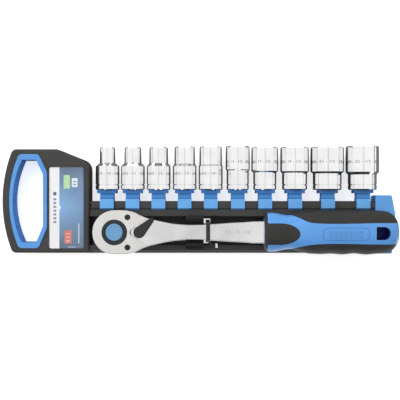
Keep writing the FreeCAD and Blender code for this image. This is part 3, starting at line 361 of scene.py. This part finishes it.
# heights in Y on a clip: the step between its apron and its post, where a painted shadow stripe
# lies, and the post's neck, where the painted shade is darkest
CLIP_STEP = 0.0011
CLIP_POST = (CLIP_STEP + 0.0002, CLIP_STEP + 0.0005)
CLIP_NECK = (CLIP_STEP + 0.0044, CLIP_STEP + 0.0052)
STEP_SHADOW_HALF = (0.00035, 0.0006)
STEP_SHADOW_STRENGTH = 0.85
APRON_BLUE = (0.125, 0.385, 0.78)
# painted shade up the post and at its neck, and the painted shadow stripe at the apron's step
POST_SHADE_BLUE = (0.040, 0.245, 0.62)
NECK_SHADE_BLUE = (0.018, 0.135, 0.42)
STEP_SHADOW_BLUE = (0.006, 0.09, 0.32)

# the hang hole: its middle's distance from the handle's end, its place in Y and half sizes
HANG_BACK = 0.0153
HANG_MIDDLE_Y = -0.0294
HANG_HALF_LONG = 0.0069
HANG_HALF_WIDE = 0.0062
HANG_DEPTHS = (0.006, 0.002)
# the colour of the painted shade down the hang hole
HOLE_SHADE_BLUE = (0.001, 0.003, 0.22)


def clip_plastic():
    """The clips' blue, paler on the apron that wraps the rail, with painted shade: darker up the
    post and darkest at its neck under the socket, and a thin painted shadow stripe at the step
    between apron and post."""
    look = plastic("clip_plastic", APRON_BLUE, rough=0.34, grain=0.0016, depth=0.00002,
                   patch=0.05, speck=0.0)
    _, y, _ = look.axes()
    # painted shade: darker up the post and darker still at its neck, then a painted shadow stripe
    # at the step
    post = look.mix(look.ramp(y, *CLIP_POST), look.painted(), POST_SHADE_BLUE)
    neck = look.mix(look.ramp(y, *CLIP_NECK), post, NECK_SHADE_BLUE)
    off_step = look.math("ABSOLUTE", look.math("SUBTRACT", y, CLIP_STEP))
    step_shadow = look.ramp(off_step, *STEP_SHADOW_HALF, STEP_SHADOW_STRENGTH, 0.0)
    look.paint(look.mix(step_shadow, neck, STEP_SHADOW_BLUE))
    return look


def shade_hang_hole(look):
    """Paint shade inside the hang hole's outline, below the handle's top face, stronger with
    depth.
    """
    x, y, z = look.axes()
    handle_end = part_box("handle_core")[1]
    across = look.math("ABSOLUTE", look.math("SUBTRACT", x, handle_end.x - HANG_BACK))
    along = look.math("ABSOLUTE", look.math("SUBTRACT", y, HANG_MIDDLE_Y))
    inside = look.math("MULTIPLY", look.math("LESS_THAN", across, HANG_HALF_LONG),
                       look.math("LESS_THAN", along, HANG_HALF_WIDE))
    lowest, highest = (handle_end.z - depth for depth in HANG_DEPTHS)
    hole_shade = look.math("MULTIPLY", inside, look.ramp(z, lowest, highest, 1.0, 0.0))
    look.paint(look.mix(hole_shade, look.painted(), HOLE_SHADE_BLUE))


# ---------------------------------------------------------------- materials

RACK_GREY = (0.036, 0.035, 0.034)
LINER_BLUE = (0.092, 0.300, 0.69)
CAP_BLUE = (0.105, 0.345, 0.75)
HANDLE_BLUE = (0.105, 0.330, 0.75)
BUTTON_BLUE = (0.135, 0.315, 0.56)
GRIP_BLACK = (0.023, 0.0225, 0.0215)
JAW_BLACK = (0.008, 0.008, 0.008)
TIE_BLACK = (0.018, 0.018, 0.019)
COLLAR_BLACK = (0.015, 0.019, 0.024)
LEVER_BLACK = (0.016, 0.016, 0.016)

rack = plastic("rack_plastic", RACK_GREY, rough=0.46, grain=0.0005, depth=0.00006,
               patch=0.16, speck=0.10)
liner = plastic("liner_plastic", LINER_BLUE, rough=0.24, grain=0.0030, depth=0.00001,
                patch=0.06, speck=0.0)
clip = clip_plastic()
cap = plastic("cap_plastic", CAP_BLUE, rough=0.36, grain=0.0007, depth=0.00003,
              patch=0.08, speck=0.03)
jaw = plastic("jaw_plastic", JAW_BLACK, rough=0.17, grain=0.0010, depth=0.00002,
              patch=0.2, speck=0.02)
tie = plastic("tie_plastic", TIE_BLACK, rough=0.27, grain=0.0012, depth=0.00002,
              patch=0.2, speck=0.02)
collar = plastic("collar_plastic", COLLAR_BLACK, rough=0.36, grain=0.0004, depth=0.00002,
                 patch=0.1, speck=0.05)
lever = plastic("lever_plastic", LEVER_BLACK, rough=0.30, grain=0.0006, depth=0.00002,
                patch=0.1, speck=0.04)
button = plastic("button_plastic", BUTTON_BLUE, rough=0.42, grain=0.0004, depth=0.00003,
                 patch=0.06, speck=0.08)
handle = plastic("handle_plastic", HANDLE_BLUE, rough=0.27, grain=0.0010, depth=0.00001,
                 patch=0.05, speck=0.0)
# painted shade down the hang hole: on the handle's inner walls and on the end cap's trough below
# it
shade_hang_hole(handle)
shade_hang_hole(cap)
raised = plastic("raised_plastic", shade(HANDLE_BLUE, 0.88), rough=0.24, grain=0.0010,
                 depth=0.00001, patch=0.05, speck=0.0)
grip = plastic("grip_rubber", GRIP_BLACK, rough=0.58, grain=0.00045, depth=0.00007,
               patch=0.14, speck=0.12)

chrome = metal("socket_chrome", (0.94, 0.94, 0.945), rough=0.08, stretch=(1, 14, 1),
               depth=0.000001)
polish = metal("tool_chrome", (0.94, 0.94, 0.935), rough=0.14, stretch=(1, 12, 1),
               depth=0.000006)
satin = metal("cover_satin", (0.93, 0.925, 0.90), rough=0.36, stretch=(9, 1, 1),
              depth=0.000010)
black_steel = metal("black_steel", (0.055, 0.055, 0.057), rough=0.32, stretch=(3, 3, 3),
                    depth=0.00001, patch=0.15)
ground = metal("ground_steel", (0.52, 0.52, 0.53), rough=0.26, stretch=(1, 1, 10),
               depth=0.00001)
wire = metal("spring_wire", (0.46, 0.46, 0.47), rough=0.30, stretch=(8, 8, 1),
             depth=0.00001)
etched = metal("etched_mark", (0.20, 0.20, 0.21), rough=0.55, stretch=(5, 5, 5),
               depth=0.00002, patch=0.2)
faint = metal("faint_etching", (0.50, 0.50, 0.50), rough=0.5, stretch=(5, 5, 5),
              depth=0.00002, patch=0.1)

LOOKS = {
    "rack_body": rack,
    "carry_handle_liner": liner,
    "label_card": label_print(),
    "label_cover": clear_sheet(),
    "rail_end_cap": cap,
    "ratchet_clip": jaw,
    "tie_loop": tie,
    "tie_back": tie,
    "ratchet_body": polish,
    "head_cover": satin,
    "cover_screws": black_steel,
    "drive_gear": ground,
    "gear_collar": collar,
    "release_button": button,
    "release_pin": ground,
    "detent_ball": ground,
    "pawl": ground,
    "selector_lever": lever,
    "selector_plunger": ground,
    "button_spring": wire,
    "selector_spring": wire,
    "handle_core": handle,
    "handle_grip_left": grip,
    "handle_grip_right": grip,
    "thumb_pad": grip,
}
CLIP_PREFIX = "socket_clip_"
SOCKET_PREFIX = "socket_"


def is_socket(name):
    return name.startswith(SOCKET_PREFIX) and not name.startswith(CLIP_PREFIX)


def look_of(name):
    if is_socket(name):
        return chrome
    if name.startswith(CLIP_PREFIX):
        return clip
    return LOOKS[name]


for name, obj in nodes.items():
    for slot in obj.material_slots:
        slot.material = look_of(name).material
    if not obj.material_slots:
        obj.data.materials.append(look_of(name).material)


# ---------------------------------------------------------------- marks on the tools

# an etched mark's thickness, and how far its middle stands above the metal
MARK_THICK = 0.00006
MARK_LIFT = 0.00002

# sockets up to this size carry their marks on the drive end, in smaller numerals
SMALL_SOCKET = 14
SMALL_MARK = {"rise": 0.0145, "height": 0.0032, "repeats": 4}
LARGE_MARK = {"rise": 0.0250, "height": 0.0036, "repeats": 5}
MARK_ROUND = 0.97

SHANK_MARK_HEIGHT = 0.0042
SHANK_MARK_FROM_TIE = 0.0205

EMBOSS_BARS = 7
EMBOSS_START = 0.1128
EMBOSS_PITCH = 0.0044
EMBOSS_BAR_WIDE = 0.0027
EMBOSS_BELOW = 0.0046
EMBOSS_ABOVE = 0.0016
EMBOSS_SUNK = 0.0012
EMBOSS_PROUD = 0.00015
EMBOSS_CORNER = 0.0008
CORNER_POINTS = 5
LETTER_CURVE_STEPS = 3


def add_piece(name, mesh, look, body):
    obj = bpy.data.objects.new(name, mesh)
    scene.collection.objects.link(obj)
    mesh.materials.clear()
    mesh.materials.append(look.material)
    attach(obj, body)


def letters(name, text, height):
    """A thin raised string of numerals, centred on the origin in the XY plane, as a mesh."""
    curve = bpy.data.curves.new(name, "FONT")
    curve.body = text
    curve.size = height
    curve.align_x = "CENTER"
    curve.align_y = "CENTER"
    curve.extrude = MARK_THICK / 2
    curve.resolution_u = LETTER_CURVE_STEPS
    holder = bpy.data.objects.new(name, curve)
    scene.collection.objects.link(holder)
    bpy.context.view_layer.update()
    mesh = bpy.data.meshes.new_from_object(
        holder.evaluated_get(bpy.context.evaluated_depsgraph_get()))
    bpy.data.objects.remove(holder)
    return mesh


def socket_marks(size_text):
    """The etched band round a socket: its size and the drive size, repeated all the way."""
    low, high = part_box(SOCKET_PREFIX + size_text)
    axis_x = (low.x + high.x) / 2
    axis_z = (low.z + high.z) / 2
    radius = (high.x - low.x) / 2 + MARK_LIFT
    style = SMALL_MARK if int(size_text) <= SMALL_SOCKET else LARGE_MARK
    band_y = low.y + style["rise"]
    name = f"{SOCKET_PREFIX}{size_text}_marks"
    mesh = letters(name, f"{size_text} - 1/2 - " * style["repeats"], style["height"])
    xs = [v.co.x for v in mesh.vertices]
    stretch = 2 * math.pi * radius * MARK_ROUND / (max(xs) - min(xs))
    for v in mesh.vertices:
        turn = v.co.x * stretch / radius
        out = radius + v.co.z
        v.co = Vector((axis_x + out * math.sin(turn), band_y + v.co.y,
                       axis_z + out * math.cos(turn)))
    add_piece(name, mesh, etched, f"loose_{size_text}")


def rounded_outline(left, base, right, top, corner):
    """The points of a rectangle with round corners, anticlockwise from its right side."""
    ring = []
    corners = ((right, top, -1, -1), (left, top, 1, -1), (left, base, 1, 1), (right, base, -1, 1))
    for quarter, (x, y, inward_x, inward_y) in enumerate(corners):
        for step in range(CORNER_POINTS):
            turn = math.radians(90 * quarter + 90 * step / (CORNER_POINTS - 1))
            ring.append((x + inward_x * corner + corner * math.cos(turn),
                         y + inward_y * corner + corner * math.sin(turn)))
    return ring


def raised_bars(outlines, low_z, high_z):
    """Flat bars between two heights, one for each outline, as the points and faces of one
    mesh."""
    vertices = []
    faces = []
    for ring in outlines:
        low = len(vertices)
        count = len(ring)
        high = low + count
        vertices += [(x, y, low_z) for x, y in ring]
        vertices += [(x, y, high_z) for x, y in ring]
        faces.append([high + i for i in range(count)])
        faces.append([low + i for i in reversed(range(count))])
        for i in range(count):
            after = (i + 1) % count
            faces.append([low + i, low + after, high + after, high + i])
    return vertices, faces


for name in nodes:
    if is_socket(name):
        socket_marks(name.removeprefix(SOCKET_PREFIX))

# the shank's etched numerals: the drive size on both sides of the wheel's number of teeth
gear_low, gear_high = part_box("drive_gear")
middle_y = (gear_low.y + gear_high.y) / 2
shank_shift = Vector((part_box("tie_loop")[1].x + SHANK_MARK_FROM_TIE, middle_y,
                      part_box("ratchet_body")[1].z + MARK_LIFT))
shank_marks = letters("shank_marks", "1/2 - 72 - 1/2", SHANK_MARK_HEIGHT)
for v in shank_marks.vertices:
    v.co = v.co + shank_shift
add_piece("shank_marks", shank_marks, faint, "ratchet")

# a plain raised pattern in the handle's embossed frame
handle_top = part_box("handle_core")[1].z
bars = []
for step in range(EMBOSS_BARS):
    left = EMBOSS_START + EMBOSS_PITCH * step
    bars.append(rounded_outline(left, middle_y - EMBOSS_BELOW, left + EMBOSS_BAR_WIDE,
                                middle_y + EMBOSS_ABOVE, EMBOSS_CORNER))
bar_points, bar_faces = raised_bars(bars, handle_top - EMBOSS_SUNK, handle_top + EMBOSS_PROUD)
emboss = bpy.data.meshes.new("handle_emboss")
emboss.from_pydata(bar_points, [], bar_faces)
add_piece("handle_emboss", emboss, raised, "ratchet")


# ---------------------------------------------------------------- floor and dark card

FLOOR_REACH = 3.0
FLOOR_DROP = 0.0002
FLOOR_GLOW = 0.66
FLOOR_ROUGH = 0.9
PAPER_SCALE = 30
PAPER_TINTS = ((0.90, 0.90, 0.90), (0.93, 0.93, 0.93))
CARD_DROP = 0.0001
CARD_PAST_RIGHT = 0.15
CARD_PAST_TOP = 0.05
CARD_ROUGH = 0.95
FELT_SCALE = 200
FELT_TINTS = ((0.16, 0.16, 0.16), (0.20, 0.20, 0.20))


def staged_sheet(name, left, base, right, top, z, look):
    mesh = bpy.data.meshes.new(name)
    mesh.from_pydata([(left, base, 0), (right, base, 0), (right, top, 0), (left, top, 0)], [],
                     [(0, 1, 2, 3)])
    mesh.materials.append(look.material)
    obj = bpy.data.objects.new(name, mesh)
    scene.collection.objects.link(obj)
    obj.location.z = z
    return obj


paper = Look("floor_paper")
paper.paint(paper.mix(paper.noise(PAPER_SCALE, COARSE_DETAIL), *PAPER_TINTS))
paper.set(Roughness=FLOOR_ROUGH, Emission_Color=(1, 1, 1, 1), Emission_Strength=FLOOR_GLOW)
staged_sheet("floor", -FLOOR_REACH, -FLOOR_REACH, FLOOR_REACH, FLOOR_REACH,
             cad_low.z - FLOOR_DROP, paper)

# a dark card under the object, seen only in reflections, gives the chrome its dark edges
felt = Look("flag_felt")
felt.paint(felt.mix(felt.noise(FELT_SCALE, COARSE_DETAIL), *FELT_TINTS))
felt.set(Roughness=CARD_ROUGH)
flag = staged_sheet("flag", cad_low.x, cad_low.y, cad_high.x + CARD_PAST_RIGHT,
                    cad_high.y + CARD_PAST_TOP, cad_low.z - CARD_DROP, felt)
flag.visible_camera = False
flag.visible_diffuse = False
flag.visible_shadow = False
flag.visible_transmission = False


# ---------------------------------------------------------------- light and camera

# soft boxes left and right with a duller gap between them: |x| of the direction and strength
GAP_WIDTH = (0.03, 0.09)
GAP_STRENGTH = (0.70, 1.0)
# the light rises from a dark horizon: z of the direction and strength
HORIZON = (0.02, 0.30)
HORIZON_STRENGTH = (0.16, 0.98)
# the front and the back are duller: y of the direction and strength
FRONT = (-0.75, 0.15)
FRONT_STRENGTH = (0.25, 1.0)
BACK = (0.25, 0.75)
BACK_STRENGTH = (1.0, 0.62)

KEY_PLACE = Vector((-0.55, 0.65, 0.95))
KEY_SIZE = (1.1, 0.9)
KEY_POWER = 10.0

CAMERA_PLACE = (0.0009, -0.0003, 0.817)
CAMERA_LENS = 80.0
CAMERA_SENSOR = 36.0
CAMERA_NEAREST = 0.01


def studio_world():
    world = bpy.data.worlds.new("studio")
    scene.world = world
    world.use_nodes = True
    sky = Graph(world.node_tree)
    background = sky.tree.nodes["Background"]
    x, y, z = sky.split(sky.node("ShaderNodeTexCoord").outputs["Generated"])
    gap = sky.ramp(sky.math("ABSOLUTE", x), *GAP_WIDTH, *GAP_STRENGTH, curve="SMOOTHSTEP")
    height = sky.ramp(z, *HORIZON, *HORIZON_STRENGTH, curve="SMOOTHSTEP")
    front = sky.ramp(y, *FRONT, *FRONT_STRENGTH, curve="SMOOTHSTEP")
    back = sky.ramp(y, *BACK, *BACK_STRENGTH, curve="SMOOTHSTEP")
    boxes = sky.math("MULTIPLY", gap, height)
    ends = sky.math("MULTIPLY", front, back)
    sky.feed(background.inputs["Strength"], sky.math("MULTIPLY", boxes, ends))
    background.inputs["Color"].default_value = (1, 1, 1, 1)


def key_light():
    """One large soft light that shades the plastics and isn't mirrored in the metal."""
    lamp = bpy.data.lights.new("key", "AREA")
    lamp.shape = "RECTANGLE"
    lamp.size, lamp.size_y = KEY_SIZE
    lamp.energy = KEY_POWER
    obj = bpy.data.objects.new("key", lamp)
    scene.collection.objects.link(obj)
    obj.location = KEY_PLACE
    obj.rotation_mode = "QUATERNION"
    obj.rotation_quaternion = (-KEY_PLACE).to_track_quat("-Z", "Y")
    obj.visible_glossy = False


def overhead_camera():
    camera = bpy.data.cameras.new("camera")
    camera.lens = CAMERA_LENS
    camera.sensor_width = CAMERA_SENSOR
    camera.clip_start = CAMERA_NEAREST
    obj = bpy.data.objects.new("camera", camera)
    scene.collection.objects.link(obj)
    obj.location = CAMERA_PLACE
    scene.camera = obj


studio_world()
key_light()
overhead_camera()
scene.view_settings.view_transform = "Standard"
